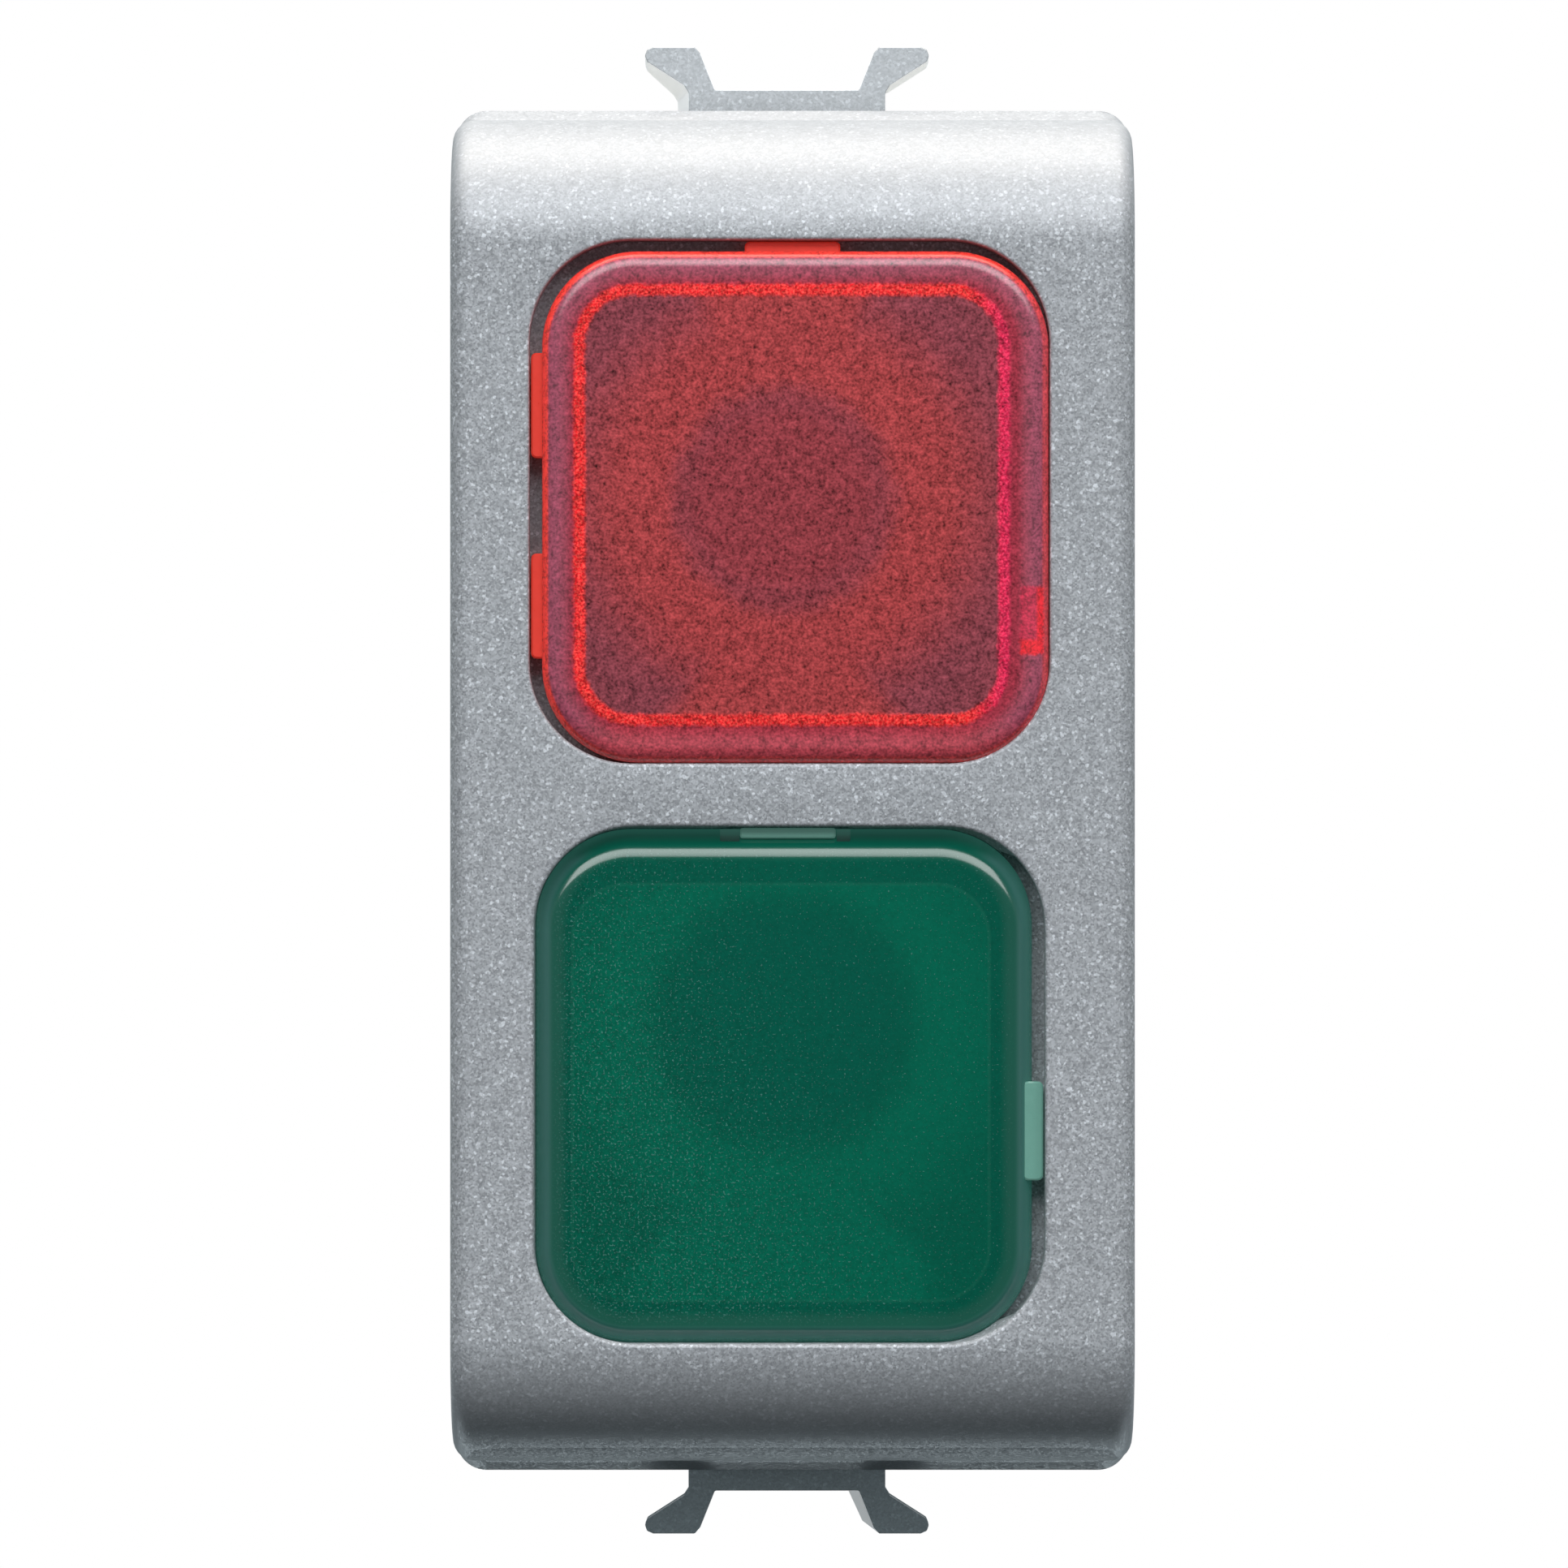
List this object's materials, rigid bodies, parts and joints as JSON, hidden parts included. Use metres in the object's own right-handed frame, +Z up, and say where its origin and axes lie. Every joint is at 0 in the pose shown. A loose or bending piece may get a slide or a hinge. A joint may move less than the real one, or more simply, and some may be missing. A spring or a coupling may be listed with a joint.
{
  "type": "double indicator lamp module",
  "caption": "Snap-in wall-box indicator module: red diffuser above a green one in a curved satin grey cover, horned spring clips, screw terminals behind.",
  "frame": {"origin": "centre of the plane on which the back of the flange seats on the support frame", "axes": "+X right as seen from the front, +Y into the wall box, away from the viewer, +Z up along the module's length"},
  "size_m": [0.0222, 0.0328, 0.0492],
  "materials": {
    "titanium_plastic": "moulded plastic filled with fine metal flake, satin",
    "red_diffuser": "tinted translucent diffuser, frosted face and glossy edge",
    "green_diffuser": "tinted translucent diffuser, frosted face and glossy edge",
    "housing_plastic": "light grey moulded plastic, fine spark texture",
    "socket_plastic": "ivory moulded plastic",
    "reflector_white": "white reflecting plastic",
    "lamp_glass": "clear glass envelope",
    "lamp_cap": "pale plastic lamp cap",
    "resistor_lacquer": "lacquered film resistor",
    "contact_brass": "stamped strip, lightly tarnished",
    "clamp_steel": "zinc plated steel"
  },
  "bodies": {
    "housing": {"front_cover": "titanium_plastic", "clip_frame": "titanium_plastic", "rear_housing": "housing_plastic", "rear_cover": "housing_plastic", "red_reflector": "reflector_white", "red_bulb": "lamp_glass", "red_lamp_base": "lamp_cap", "red_resistor": "resistor_lacquer", "red_socket": "socket_plastic", "red_left_strip": "contact_brass", "red_right_strip": "contact_brass", "green_reflector": "reflector_white", "green_bulb": "lamp_glass", "green_lamp_base": "lamp_cap", "green_resistor": "resistor_lacquer", "green_socket": "socket_plastic", "green_left_strip": "contact_brass", "green_right_strip": "contact_brass"},
    "top_clip": {"top_clip": "titanium_plastic"},
    "bottom_clip": {"bottom_clip": "titanium_plastic"},
    "red_lens": {"red_lens": "red_diffuser"},
    "red_left_cage": {"red_left_cage": "clamp_steel"},
    "red_left_screw": {"red_left_screw": "clamp_steel"},
    "red_right_cage": {"red_right_cage": "clamp_steel"},
    "red_right_screw": {"red_right_screw": "clamp_steel"},
    "green_lens": {"green_lens": "green_diffuser"},
    "green_left_cage": {"green_left_cage": "clamp_steel"},
    "green_left_screw": {"green_left_screw": "clamp_steel"},
    "green_right_cage": {"green_right_cage": "clamp_steel"},
    "green_right_screw": {"green_right_screw": "clamp_steel"}
  },
  "joints": [
    {"name": "top_clip_flex", "type": "hinge", "parent": "housing", "child": "top_clip", "pos_m": [0, 0.0121, 0.02], "axis": [1, 0, 0], "range_deg": [0, 4.5], "stiffness_Nm_per_rad": 0.5},
    {"name": "bottom_clip_flex", "type": "hinge", "parent": "housing", "child": "bottom_clip", "pos_m": [0, 0.0121, -0.02], "axis": [-1, 0, 0], "range_deg": [0, 4.5], "stiffness_Nm_per_rad": 0.5},
    {"name": "red_lens_pull", "type": "slide", "parent": "housing", "child": "red_lens", "axis": [0, -1, 0], "range_m": [0, 0.012]},
    {"name": "red_left_screw_turn", "type": "hinge", "parent": "housing", "child": "red_left_screw", "pos_m": [-0.0065, 0.021, 0.015], "axis": [0, -1, 0], "range_deg": [0, 1440]},
    {"name": "red_left_cage_lift", "type": "slide", "parent": "housing", "child": "red_left_cage", "axis": [0, 1, 0], "range_m": [0, 0.002]},
    {"name": "red_right_screw_turn", "type": "hinge", "parent": "housing", "child": "red_right_screw", "pos_m": [0.0065, 0.021, 0.015], "axis": [0, -1, 0], "range_deg": [0, 1440]},
    {"name": "red_right_cage_lift", "type": "slide", "parent": "housing", "child": "red_right_cage", "axis": [0, 1, 0], "range_m": [0, 0.002]},
    {"name": "green_lens_pull", "type": "slide", "parent": "housing", "child": "green_lens", "axis": [0, -1, 0], "range_m": [0, 0.012]},
    {"name": "green_left_screw_turn", "type": "hinge", "parent": "housing", "child": "green_left_screw", "pos_m": [-0.0065, 0.021, -0.015], "axis": [0, -1, 0], "range_deg": [0, 1440]},
    {"name": "green_left_cage_lift", "type": "slide", "parent": "housing", "child": "green_left_cage", "axis": [0, 1, 0], "range_m": [0, 0.002]},
    {"name": "green_right_screw_turn", "type": "hinge", "parent": "housing", "child": "green_right_screw", "pos_m": [0.0065, 0.021, -0.015], "axis": [0, -1, 0], "range_deg": [0, 1440]},
    {"name": "green_right_cage_lift", "type": "slide", "parent": "housing", "child": "green_right_cage", "axis": [0, 1, 0], "range_m": [0, 0.002]}
  ],
  "couplings": [
    {"joint": "red_left_screw_turn", "follows": "red_left_cage_lift", "rad_per_m": 12566},
    {"joint": "red_right_screw_turn", "follows": "red_right_cage_lift", "rad_per_m": 12566},
    {"joint": "green_left_screw_turn", "follows": "green_left_cage_lift", "rad_per_m": 12566},
    {"joint": "green_right_screw_turn", "follows": "green_right_cage_lift", "rad_per_m": 12566}
  ]
}
